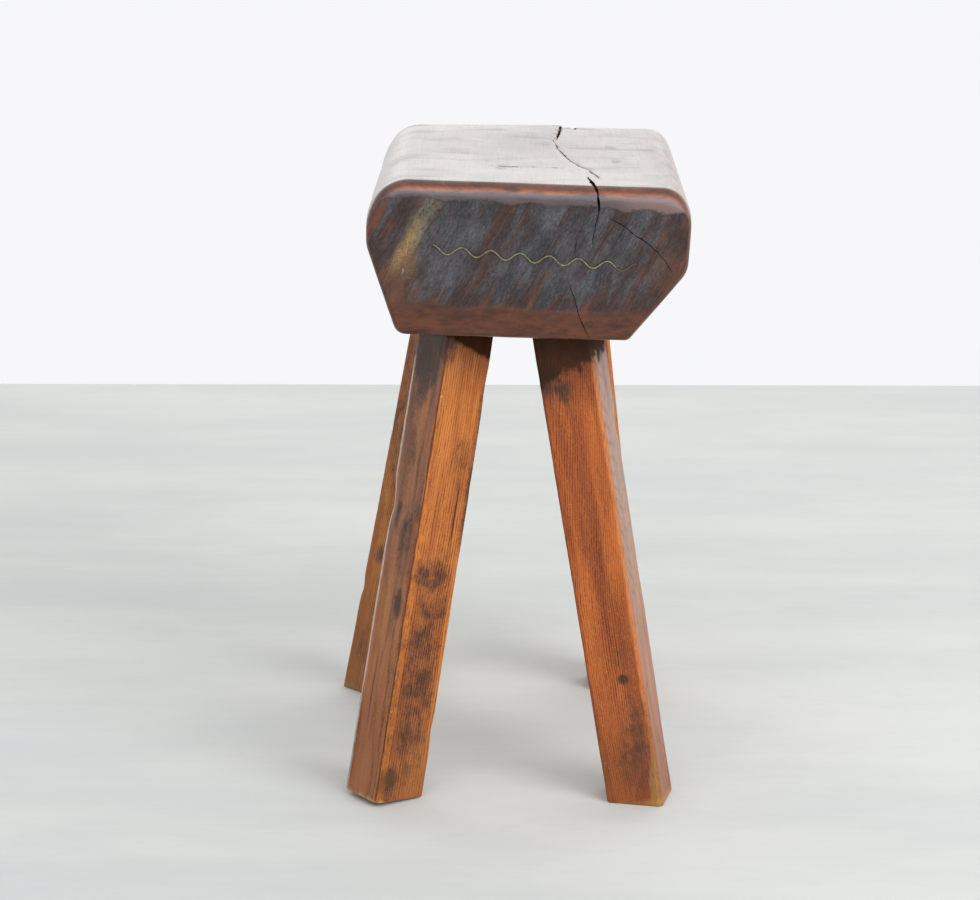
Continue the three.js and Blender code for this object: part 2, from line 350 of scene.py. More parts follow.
def make_block():
    mesh = loft("block", block_rings())
    points = positions(mesh)
    facing = normals(mesh)
    x, y, z = points.T
    half = LENGTH / 2

    # Weathered ends: the border field fades into the sides, and the axe marks are cut in.
    inside, relief = np.where(y < 0, end_fields(points, 1, 11), end_fields(points, -1, 31))
    end_on = smooth(np.abs(facing[:, 1]), 0.55, 0.9)
    outside = -12
    inside = np.where(end_on > 0, inside + outside * (1 - end_on), outside)
    rough = smooth(inside, -1.5, 2.5) * end_on

    # Wear: a hollow top, soft lumps, a slight wind along the length, and the lifted edge of the crack.
    lumps = 0.55 * noise(points, 95, 1) + 0.22 * noise(points, 28, 2, 2)
    hewn = 0.35 * noise(points, (24, 90, 24), 3, 2)
    on_top = smooth(facing[:, 2], 0.5, 0.95)
    hollow = -1.3 * bump(np.hypot(x / 85, y / 140)) * on_top
    left_of_crack = smooth(crack_line(y) - x, -0.8, 0.8)
    lift = 2.1 * smooth(y, -20, half) * bump((crack_line(y) - x) / 75) * left_of_crack * on_top
    lip = -0.45 * bump((crack_line(y) - x) / 2.6) * on_top * smooth(y, -168, -60)
    lift = lift + 1.9 * smooth(y, -80, 160) * on_top
    depth = lumps * (1 - 0.4 * on_top) + hewn * (1 - on_top) * (1 - end_on) + hollow + lift + lip
    depth -= rough * (0.55 + 0.75 * relief + 0.12 * noise(points, (4, 4, 4), 5, 2))
    moved = points + facing * depth[:, None]
    wind = np.radians(0.45) * y / half
    moved[:, 2] += wind * x * smooth(z, -30, TOP)
    move(mesh, moved)

    for name, values in zip(FIELDS, (points, inside, relief, near_crack(points), facing)):
        store(mesh, name, values)
    return add_object("block", mesh)


def blade(path, widths, depth, seed, spacing=1.2, wander=0.8):
    """The thin solid that a drying crack takes out: a ragged V that follows a path on the surface.
    path holds (x, y, z, in_x, in_y, in_z): a place on the surface and the way into the wood."""
    path = np.asarray(path, float)
    lengths = np.r_[0, np.cumsum(np.linalg.norm(np.diff(path[:, :3], axis=0), axis=1))]
    steps = max(int(lengths[-1] / spacing), 4)
    s = np.linspace(0, lengths[-1], steps + 1)
    line = np.stack([np.interp(s, lengths, path[:, k]) for k in range(6)], axis=1)
    width = np.interp(s, np.linspace(0, lengths[-1], len(widths)), widths)
    inward = line[:, 3:] / np.linalg.norm(line[:, 3:], axis=1)[:, None]
    forward = np.gradient(line[:, :3], axis=0)
    side = np.cross(forward, inward)
    side /= np.linalg.norm(side, axis=1)[:, None]
    places = s[:, None] * (1, 0, 0)
    sway = wander * noise(places, 8, seed, 3)
    ragged = 1 + 0.7 * noise(places, 5, seed + 1, 2)
    taper = np.sqrt(np.clip(np.minimum(s, lengths[-1] - s) / 5, 0, 1))
    half_width = np.maximum(width * ragged * taper / 2, 0.06)
    middle = line[:, :3] + side * sway[:, None]
    above = 5.0
    flare = 1 + above / depth
    left = middle - side * (half_width * flare)[:, None] - inward * above
    right = middle + side * (half_width * flare)[:, None] - inward * above
    low = (depth * (0.5 + 0.5 * taper) * (1 + 0.15 * noise(places, 12, seed + 2, 2)))[:, None]
    deep_left = middle - side * 0.05 + inward * low
    deep_right = middle + side * 0.05 + inward * low
    return tube([deep_left, deep_right, right, left])


def on_top_of(points):
    return [(x, y, TOP, 0, 0, -1) for x, y in points]


def on_front(points):
    return [(x, -LENGTH / 2, z, 0, 1, 0) for x, z in points]


# Each crack's path over the surface, its widths along the path, and its depth.
CRACKS = [
    # The long crack across the top: a gash at the rear, a hairline, and a short check beside its end.
    (on_top_of([(28.5, 167), (27, 155), (24.5, 122), (22, 84)]), (0.8, 1.8, 2.1, 1.7, 0.6), 26),
    (on_top_of([(19, 82), (23, 37), (28, 0), (33, -32), (40, -59), (47, -74)]),
         (0.8, 0.6, 0.6, 0.9, 0.7, 0.5), 16),
    (on_top_of([(46.5, -78), (48, -88), (51, -106), (53.5, -124)]), (0.5, 1.0, 0.9, 0.4), 10),
    # The gash that runs over the front edge and down the end.
    (on_top_of([(44.5, -112), (45.5, -128), (46.5, -144), (48, -156)])
         + [(49.5, -165, 55.5, 0, 0.45, -0.9), (51.2, -171, 49, 0, 0.9, -0.45)]
         + on_front([(52.2, 43), (52, 38), (50, 30), (48.5, 22), (48.6, 13)]),
         (0.6, 1.7, 2.3, 2.4, 2.1, 1.8, 1.4, 1.0, 0.7, 0.45), 20),
    # The notch in the rear edge, and short checks and a long hairline on the front end.
    (on_top_of([(35, 171), (37.5, 160), (39, 148)]), (2.6, 3.6, 1.2), 5),
    (on_front([(36, 18), (35.3, 11), (34.5, 4)]), (0.35, 0.6, 0.35), 8),
    (on_front([(30, -15), (35, -27), (39, -41), (45, -53), (48, -60)]),
         (0.35, 0.5, 0.5, 0.6, 0.5), 12),
    (on_front([(59.5, 35), (70, 29.5), (79, 23), (92, 14.5), (104, 2), (110, -6)]),
         (0.35, 0.5, 0.6, 0.6, 0.5, 0.35), 12),
]


def merge(name, parts):
    """One mesh of several separate solids."""
    verts, faces = [], []
    for part_verts, part_faces in parts:
        offset = len(verts)
        verts.extend(np.asarray(part_verts).tolist())
        faces.extend([tuple(i + offset for i in face) for face in part_faces])
    return new_mesh(name, verts, faces)


# ---- Frames of the block and the posts ----


def unit(vector):
    return vector / np.linalg.norm(vector)


def frame_matrix(x_axis, y_axis, z_axis, origin):
    matrix = np.eye(4)
    matrix[:3] = np.stack([x_axis, y_axis, z_axis, origin], axis=1)
    return matrix


def stool_shift():
    """From the block's own middle line to the row's origin, read off the CAD block's box."""
    low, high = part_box("seat_block")
    rings = block_rings().reshape(-1, 3)
    x = rings[:, 0] * math.cos(LEAN) + rings[:, 2] * math.sin(LEAN)
    return np.array([
        (low[0] + high[0]) / 2 / MM - (x.min() + x.max()) / 2,
        (low[1] + high[1]) / 2 / MM,
        0.0])


SHIFT = stool_shift()
BLOCK_FRAME = frame_matrix(
    (math.cos(LEAN), 0, -math.sin(LEAN)), (0, 1, 0), (math.sin(LEAN), 0, math.cos(LEAN)),
    SHIFT + (0, 0, CENTRE_HEIGHT))


def centre_line(post):
    return np.array([*post["foot"], 0.0]), np.array([*post["head"], UNDERSIDE])


def post_frame(post):
    """Origin where the post's centre line meets the floor, +Z up the line."""
    foot, head = centre_line(post)
    up = unit(head - foot)
    turn = math.radians(post["turn"])
    across = np.array([math.cos(turn), math.sin(turn), 0])
    across = unit(across - up * (across @ up))
    return frame_matrix(across, np.cross(up, across), up, foot + SHIFT)


def height_of_plane(frame_of_post, point, normal):
    """For a post's own x and y, the z at which it meets a plane given in the row's frame."""
    inverse = np.linalg.inv(frame_of_post)
    local_point = (inverse @ [*point, 1])[:3]
    local_normal = inverse[:3, :3] @ normal
    return lambda x, y: local_point[2] - (
        local_normal[0] * (x - local_point[0]) + local_normal[1] * (y - local_point[1])) / local_normal[2]


# ---- The posts ----

# The long edges of each post, from the front corner anticlockwise from above: width of the worn flat.
EDGE_WEAR = {
    "front_left": (5.0, 3.2, 4.0, 3.0),
    "front_right": (2.6, 4.2, 3.0, 3.0),
    "rear_left": (4.0, 3.0, 3.5, 3.0),
    "rear_right": (3.0, 3.5, 3.0, 3.0),
}

# Knocks and bruises: place in the post's frame, radius and depth.
DENTS = {
    "front_left": [((-22, 22, 236), 8, 2.6), ((-22, 21, 249), 5, 0.8), ((21, -22, 338), 12, 0.7),
                   ((-21, -21, 222), 6, 1.6), ((-21, -22, 120), 5, 1.2), ((22, -20, 60), 8, 1.0)],
    "front_right": [((22, -22, 92), 4, 1.8), ((22, -22, 215), 5, 1.4), ((22, -22, 238), 3, 1.0),
                    ((21, -22, 320), 9, 1.2), ((22, 22, 300), 8, 1.4)],
    "rear_left": [((-22, -22, 180), 8, 1.5), ((-22, 22, 90), 6, 1.2)],
    "rear_right": [((22, 22, 250), 8, 1.5), ((-22, 22, 140), 7, 1.2)],
}


def post_outline(chamfers, half, inset, spacing):
    corners = []
    for (sx, sy), flat in zip(((-1, -1), (1, -1), (1, 1), (-1, 1)), chamfers):
        cut_back = flat / math.sqrt(2)
        along_x = (sx * (half - cut_back), sy * half)
        along_y = (sx * half, sy * (half - cut_back))
        corners += [along_y, along_x] if sx * sy > 0 else [along_x, along_y]
    return rounded_outline(corners, [1.8] * 8, [inset] * 8, spacing)


def post_rings(name, post):
    frame_of_post = post_frame(post)
    foot, head = centre_line(post)
    outward = unit(np.array([foot[0] - head[0], foot[1] - head[1], 0]))
    cant = math.radians(post["cant"])
    inner = foot + SHIFT - outward * post["sides"][0] * math.sqrt(0.5)
    sole_normal = math.cos(cant) * np.array([0, 0, 1]) - math.sin(cant) * outward
    floor_at = height_of_plane(frame_of_post, inner, sole_normal)
    shoulder_point = (BLOCK_FRAME @ [0, 0, BOTTOM - GAP, 1])[:3]
    shoulder_at = height_of_plane(frame_of_post, shoulder_point, BLOCK_FRAME[:3, 2])
    half_foot, half_head = (side / 2 for side in post["sides"])
    outline = lambda inset: post_outline(EDGE_WEAR[name], half_foot, inset, POST_SPACING)
    base = outline(0)
    rings = []

    def ring(flat, share):
        low, high = floor_at(flat[:, 0], flat[:, 1]), shoulder_at(flat[:, 0], flat[:, 1])
        rings.append(np.stack([flat[:, 0], flat[:, 1], low * (1 - share) + high * share], axis=1))

    for k in range(1, 12):
        ring(outline(FOOT_ROUNDING) * k / 12, 0)
    length = shoulder_at(0, 0) - floor_at(0, 0)
    for drop in FOOT_ROUNDING * (1 - np.cos(np.linspace(0, math.pi / 2, 5))):
        ring(outline(arc_drop(drop, FOOT_ROUNDING)), drop / length)
    for share in np.linspace(FOOT_ROUNDING / length, 1, POST_RINGS)[1:]:
        ring(base * ((1 - share) + share * half_head / half_foot), share)
    angles = np.unwrap(np.arctan2(base[:, 1], base[:, 0]))
    circle = np.stack([np.cos(angles), np.sin(angles)], axis=1) * TENON_RADIUS
    square = base * half_head / half_foot
    for k in (1, 2, 3):
        ring(square * (1 - k / 4) + circle * k / 4, 1)
    ring(circle, 1)
    shoulder = rings[-1].copy()
    tenon_end = shoulder_at(0, 0) + TENON_LENGTH
    for share in np.linspace(0, 1, 20)[1:]:
        step = shoulder.copy()
        step[:, 2] = shoulder[:, 2] * (1 - share) + tenon_end * share
        rings.append(step)
    top = rings[-1]
    for shrink in 1 - np.arange(1, 7) / 7:
        rings.append(top * (shrink, shrink, 1))
    return np.array(rings), length, tenon_end


def kerf_cutter(post, tenon_end):
    """The saw kerf that the hidden wedge opens, across the block's grain."""
    depth, root, mouth, over, reach = 46, 0.8, 2.5, 3.4, TENON_RADIUS * 1.1
    wide = mouth + (mouth - root) * over / depth
    section = np.array([(-root, -depth), (root, -depth), (wide, over), (-wide, over)])
    turn = math.radians(-post["turn"])
    return tube([[(*turned(x, y, turn), z + tenon_end) for x in (-reach, reach)] for y, z in section])


def make_post(name, post, seed):
    rings, length, tenon_end = post_rings(name, post)
    mesh = loft(name, rings)
    mesh.flip_normals()
    points = positions(mesh)
    facing = normals(mesh)
    half = post["sides"][0] / 2
    on_post = smooth(length - points[:, 2], -1, 3) * smooth(points[:, 2], -30, 8)
    reach = np.abs(points[:, :2]) / half
    edge = smooth(reach.min(axis=1), 0.72, 0.97)
    depth = 0.5 * noise(points, (60, 60, 170), seed, 2) + 0.22 * noise(points, (11, 11, 60), seed + 1, 2)
    depth -= edge * (0.1 + 0.4 * noise(points, (14, 14, 22), seed + 2, 3))
    for place, radius, deep in DENTS[name]:
        depth -= deep * bump(np.linalg.norm((points - place) * (1, 1, 0.8), axis=1) / radius)
    move(mesh, points + facing * (depth * on_post)[:, None])
    store(mesh, "post_co", points)
    store(mesh, "facing", facing)
    store(mesh, "edge", edge)
    piece = add_object(name, mesh)
    cutter = add_object("kerf", merge("kerf", [kerf_cutter(post, tenon_end)]))
    timber = post_material(name, LOOKS[name])
    piece.data.materials.append(timber)
    cutter.data.materials.append(timber)
    cut(piece, cutter)
    return piece, tenon_end


# ---- The iron ----

IRON = dict(
    length=157.0, waves=7, height=6.4, thickness=1.0, depth=24.0, proud=0.3, centre=(4.0, 1.6), tilt=3.8)


def strip_mesh(thickness, length, start, end, steps):
    """A corrugated strip on edge with a crest at its left end, in the block's frame."""
    pitch = IRON["length"] / IRON["waves"]
    x = np.linspace(-length / 2, length / 2, steps)
    phase = 2 * math.pi * (x + IRON["length"] / 2) / pitch
    middle = np.stack([x, IRON["height"] / 2 * np.cos(phase)], axis=1)
    slope = -math.pi * IRON["height"] / pitch * np.sin(phase)
    normal = np.stack([-slope, np.ones_like(slope)], axis=1)
    normal /= np.linalg.norm(normal, axis=1)[:, None]
    strings = []
    for side, y in ((1, start), (-1, start), (-1, end), (1, end)):
        across, up = turned(*(middle + normal * side * thickness / 2).T, -math.radians(IRON["tilt"]))
        strings.append(np.stack([
            across + IRON["centre"][0], np.full(steps, y - LENGTH / 2), up + IRON["centre"][1]], axis=1))
    return tube(strings)


# ---- Materials ----


class Value:
    """A socket of a node tree, with arithmetic that adds Math nodes."""

    def __init__(self, tree, socket):
        self.tree, self.socket = tree, socket

    def math(self, operation, *others, clamp=False):
        node = self.tree.nodes.new("ShaderNodeMath")
        node.operation = operation
        node.use_clamp = clamp
        for slot, value in zip(node.inputs, (self, *others)):
            put(value, slot)
        return Value(self.tree, node.outputs[0])

    def __rsub__(self, other):
        return (self * -1).math("ADD", other)

    def clamped(self):
        return self.math("ADD", 0.0, clamp=True)

    def step(self, low, high):
        """0 below low, 1 above high, smooth between. low may be the larger, which turns it round."""
        node = self.tree.nodes.new("ShaderNodeMapRange")
        node.interpolation_type = "SMOOTHSTEP"
        put(self, node.inputs["Value"])
        limits = (low, high, 0.0, 1.0) if low < high else (high, low, 1.0, 0.0)
        for name, limit in zip(("From Min", "From Max", "To Min", "To Max"), limits):
            node.inputs[name].default_value = limit
        return Value(self.tree, node.outputs["Result"])


def math_method(operation):
    return lambda value, *others: value.math(operation, *others)


for method, operation in {
        "__add__": "ADD", "__radd__": "ADD", "__sub__": "SUBTRACT", "__mul__": "MULTIPLY",
        "__rmul__": "MULTIPLY", "abs": "ABSOLUTE", "sqrt": "SQRT", "fract": "FRACT",
        "at_least": "MAXIMUM"}.items():
    setattr(Value, method, math_method(operation))


def put(value, slot):
    if isinstance(value, Value):
        value.tree.links.new(value.socket, slot)
    else:
        slot.default_value = value


def apart(point, centre, reach):
    """How far point, one Value for each axis, is from centre, in units of reach along each axis."""
    parts = [(value - middle) * (1 / size) for value, middle, size in zip(point, centre, reach)]
    total = parts[0] * parts[0]
    for part in parts[1:]:
        total = total + part * part
    return total.sqrt()


def attribute(tree, name, output="Vector"):
    node = tree.nodes.new("ShaderNodeAttribute")
    node.attribute_type = "GEOMETRY"
    node.attribute_name = name
    return Value(tree, node.outputs[output])


def coordinates(tree, kind):
    return Value(tree, tree.nodes.new("ShaderNodeTexCoord").outputs[kind])


def split(vector):
    node = vector.tree.nodes.new("ShaderNodeSeparateXYZ")
    put(vector, node.inputs[0])
    return [Value(vector.tree, output) for output in node.outputs]


def join(x, y, z):
    tree = next(v.tree for v in (x, y, z) if isinstance(v, Value))
    node = tree.nodes.new("ShaderNodeCombineXYZ")
    for value, slot in zip((x, y, z), node.inputs):
        put(value, slot)
    return Value(tree, node.outputs[0])


def grain(vector, size, detail=3.0, roughness=0.55, distortion=0.0, seed=0.0):
    """Noise in 0..1. size is the lumps' width in millimetres, one number or one for each axis."""
    tree = vector.tree
    sizes = size if isinstance(size, tuple) else (size, size, size)
    scaled = tree.nodes.new("ShaderNodeVectorMath")
    scaled.operation = "MULTIPLY_ADD"
    put(vector, scaled.inputs[0])
    scaled.inputs[1].default_value = [1 / s for s in sizes]
    scaled.inputs[2].default_value = (seed * 17.3, seed * 5.1, seed * 9.7)
    node = tree.nodes.new("ShaderNodeTexNoise")
    put(Value(tree, scaled.outputs[0]), node.inputs["Vector"])
    settings = {"Scale": 1.0, "Detail": detail, "Roughness": roughness, "Distortion": distortion}
    for name, value in settings.items():
        node.inputs[name].default_value = value
    return Value(tree, node.outputs["Fac"])


def colour(hex_code):
    """A colour written as on a screen, as linear light."""
    parts = [int(hex_code[i:i + 2], 16) / 255 for i in (0, 2, 4)]
    return [c / 12.92 if c <= 0.04045 else ((c + 0.055) / 1.055) ** 2.4 for c in parts] + [1.0]


def mix(share, low, high):
    """Colour low where share is 0 and high where it is 1."""
    tree = share.tree
    node = tree.nodes.new("ShaderNodeMix")
    node.data_type = "RGBA"
    sockets = {slot.identifier: slot for slot in (*node.inputs, *node.outputs)}
    put(share, sockets["Factor_Float"])
    for value, slot in ((low, "A_Color"), (high, "B_Color")):
        put(colour(value) if isinstance(value, str) else value, sockets[slot])
    return Value(tree, sockets["Result_Color"])


def layered(colours, *layers):
    """Mixes each layer, (share, colour), over the ones before it."""
    for share, tint in layers:
        colours = mix(share, colours, tint)
    return colours


def new_material(name):
    material = bpy.data.materials.new(name)
    material.use_nodes = True
    tree = material.node_tree
    shader = next(n for n in tree.nodes if n.type == "BSDF_PRINCIPLED")
    return material, tree, lambda name, value: put(value, shader.inputs[name])


def bumps(paint, height, distance):
    """height is 0..1, and distance what 1 stands for in millimetres."""
    node = height.tree.nodes.new("ShaderNodeBump")
    node.inputs["Strength"].default_value = 1.0
    node.inputs["Distance"].default_value = distance * MM
    put(height, node.inputs["Height"])
    paint("Normal", Value(height.tree, node.outputs["Normal"]))


def block_material():
    material, tree, paint = new_material("reclaimed_timber")
    place = attribute(tree, "block_co")
    x, y, z = split(place)
    _, facing_y, facing_z = split(attribute(tree, "facing"))
    inside = attribute(tree, "inside_end", "Fac")
    relief = attribute(tree, "relief", "Fac")
    near = attribute(tree, "near_crack", "Fac")
    end_on = facing_y.abs().step(0.55, 0.9)

    # Long grain, as the top, the sides and the underside show it.
    broad = grain(place, (34, 170, 34), 3, seed=1)
    stripes = grain(place, (6, 190, 6), 4, 0.6, seed=2)
    fibre = grain(place, (0.9, 36, 0.9), 3, 0.6, seed=3)
    long_grain = layered(
        mix(broad.step(0.3, 0.7), "46221a", "643626"),
        (stripes.step(0.42, 0.7) * 0.6, "7a452d"),
        (fibre.step(0.5, 0.75) * 0.5, "2f1811"),
        # Darker where the surface faces down: painted shade on the underside.
        ((facing_z * -1).step(0.3, 0.8) * 0.5, "35201a"))

    # Dull marks on the polished top: the lips of the cracks, small knots, a line across the grain, clouds.
    scuffs = grain(place, (9, 22, 9), 4, 0.65, seed=13)
    dull = near.step(0.55, 0.95) * scuffs.step(0.4, 0.6) * 0.55
    for knot_x, knot_y, reach in ((67, 46, 7.0), (70, -27, 6.0), (-23, -73, 8.0), (-110, -50, 6.0)):
        spot = apart((x, y), (knot_x, knot_y), (reach, 2.5 * reach)) + (scuffs - 0.5) * 2
        dull = dull.at_least(spot.step(0.9, 0.3) * 0.22)
    line = (y + 66 + (grain(place, (18, 400, 400), 2, seed=14) - 0.5) * 14).abs().step(3.2, 0.8)
    line = line * x.step(-36, -28) * x.step(30, 22)
    dull = dull.at_least(line * grain(place, (11, 400, 400), 2, seed=15).step(0.42, 0.56) * 0.9)
    tints = grain(place, (70, 26, 70), 4, 0.6, seed=20)
    dull = dull.at_least(tints.step(0.5, 0.72) * 0.22)
    dull = dull.at_least(x.step(92, 116) * scuffs.step(0.3, 0.6) * 0.3)
    dull = dull * facing_z.step(0.6, 0.9)
    long_grain = mix(dull * 0.7, long_grain, "6b3d28")

    # The polished rounding at each end: orange above and dark below, a split by the way it faces that is
    # painted light, with a painted pinkish sheen at the right; rust-brown at the bottom.
    clouds = grain(place, (22, 12, 9), 4, 0.65, seed=4)
    upper = mix(clouds.step(0.3, 0.7), "7d4226", "b0673e")
    lower = mix(clouds.step(0.3, 0.7), "30232a", "4e383a")
    height = facing_z + (clouds - 0.5) * 0.35
    # A painted pinkish sheen on the dark part at the right.
    lower = mix(x.step(52, 96) * 0.6, lower, "7c5a52")
    rounding = mix(height.step(0.4, 0.7), lower, upper)
    specks = grain(place, (8, 4, 4), 3, 0.6, seed=5).step(0.6, 0.68)
    burn = apart((x + (clouds - 0.5) * 14, z + (clouds - 0.5) * 6), (-14, 55), (9, 4))
    specks = specks.at_least(burn.step(1.1, 0.5))
    rounding = mix(specks * 0.8, rounding, "2c1e1c")
    rust = mix(grain(place, (20, 9, 7), 4, 0.65, seed=16).step(0.3, 0.7), "3a1b0d", "5c3019")
    rounding = mix(z.step(20, -20), rounding, rust)
    colours = mix(end_on, long_grain, rounding)

    # The weathered end: slate-grey shingles left by the axe with dark red-brown timber between them.
    across, along = turned(x, z, STREAK_LEAN)
    marks = join(across, along, y * 0)
    shingles = grain(marks, (15, 90, 5), 4.5, 0.62, 0.3, seed=6)
    shavings = grain(marks, (4, 50, 5), 3, 0.6, seed=22)
    hairs = grain(marks, (0.75, 30, 5), 3, 0.6, seed=7)
    scores = grain(marks, (1.6, 60, 5), 2, 0.6, seed=17)
    mottle = grain(marks, (1.3, 3.2, 5), 3, 0.8, seed=8)
    patches = grain(marks, (13, 34, 5), 4, 0.6, seed=9)
    slate = layered(
        mix(patches.step(0.35, 0.65), "333236", "504f53"),
        (mottle.step(0.45, 0.68) * 0.68, "1b1718"),
        (mottle.step(0.46, 0.3) * 0.4, "736a69"))
    timber = mix(mottle.step(0.3, 0.7), "402a22", "281915")
    warm = x.step(-74, -116).at_least(x.step(66, 118) * 0.8).at_least(z.step(-12, -44))
    share = (shingles * 0.7 + shavings * 0.3 + relief * 0.05 + warm * 0.11).step(0.46, 0.63)
    red = grain(marks, (6, 44, 5), 3, 0.6, seed=18).step(0.5, 0.68) * share
    glow = (x.step(-62, -104) * z.step(4, -34)).at_least(x.step(76, 112) * z.step(30, -10) * 0.8)
    weathered = layered(
        mix(share * 0.85, slate, timber),
        (broad.step(0.4, 0.62) * 0.25, "2a2020"),
        (hairs.step(0.56, 0.72) * 0.3, "7b7274"),
        (scores.step(0.62, 0.7) * 0.5, "1f1718"),
        (red * 0.45 * (0.4 + warm), "733f2a"),
        (glow * patches.step(0.25, 0.6) * 0.5, "6f452c"))

    # A worn ochre streak at the left with a painted glint over it in sage, gold and cream, brightest and
    # curled round a knot in its middle.
    streak_sway = (grain(marks, (40, 40, 5), 2, seed=10) - 0.5) * 12
    ochre_side = (across + 86.5 - along * 0.045 + streak_sway).abs()
    ochre_and_glint = ochre_side.step(9, 0) * along.step(-4, -30) * along.step(-66, -44)
    sage_glint = ochre_side.step(12, 3) * along.step(-40, -16)
    knot = apart((x, z), (-94, -1), (10, 17))
    swirl = grain(place, (13, 13, 16), 2, 0.5, 1.2, seed=19)
    glint_curls = ((swirl * 7).fract() - 0.5).abs().step(0.1, 0.02) * patches.step(0.6, 0.4) * knot.step(1.1, 0.4)
    weathered = layered(
        weathered,
        (sage_glint * mottle.step(0.7, 0.4) * 0.5, "77705c"),
        (ochre_and_glint * mottle.step(0.8, 0.4) * 0.75, "9a7d55"),
        (knot.step(1.3, 0.2) * 0.4, "7c5a34"),
        (glint_curls * 0.6, "cdb98f"),
        (near.step(0.85, 0.99) * 0.3, "2a1c16"))
    ragged = grain(place, 3.2, 4, 0.65, seed=11) * 5 - 2.5
    soft = z.step(5, -25)
    border = (inside + ragged * (1 + soft)) * (1 - soft * 0.72)
    rough_end = border.step(-0.8, 1.4) * end_on
    colours = mix(rough_end, colours, weathered)
    # A dark line along the step at the border: painted shade.
    border_shade = border.abs().step(1.6, 0.2) * end_on * (1 - soft)
    colours = mix(border_shade * 0.5, colours, "241818")

    paint("Base Color", colours)
    wear = grain(place, (40, 60, 40), 4, 0.6, seed=12)
    gloss = 0.22 + wear * 0.14 + fibre.step(0.5, 0.8) * 0.05 + dull * 0.35
    paint("Roughness", gloss + rough_end * 0.28 - glint_curls * rough_end * 0.2)
    polish = 0.9 - dull * 0.9 - rough_end * 0.8 - clouds.step(0.55, 0.72) * end_on * 0.5
    below = soft * end_on * (1 - rough_end)
    paint("Coat Weight", (polish - below * 0.7).clamped())
    paint("Coat Roughness", 0.25 + facing_z.step(0.96, 0.7) * (0.06 + clouds * 0.16))
    paint("Coat IOR", 1.6)
    paint("Specular IOR Level", 0.5 - dull * 0.42 - rough_end * 0.22 - below * 0.15)
    relief_height = (
        fibre * (1 - end_on) * 0.08
        + shingles * rough_end * 0.7
        + hairs * rough_end * 0.35
        + mottle * rough_end * 0.45
        + clouds * (0.35 + facing_z.step(0.98, 0.7) * (1 - rough_end) * 1.1))
    bumps(paint, relief_height, 0.7)
    return material


def crack_material():
    material, tree, paint = new_material("crack_inside")
    place = attribute(tree, "block_co")
    fibres = grain(place, (1.2, 14, 1.2), 3, seed=21)
    paint("Base Color", mix(fibres.step(0.3, 0.7), "2c1a12", "563725"))
    paint("Roughness", 0.95)
    paint("Specular IOR Level", 0.0)
    bumps(paint, fibres, 0.4)
    return material
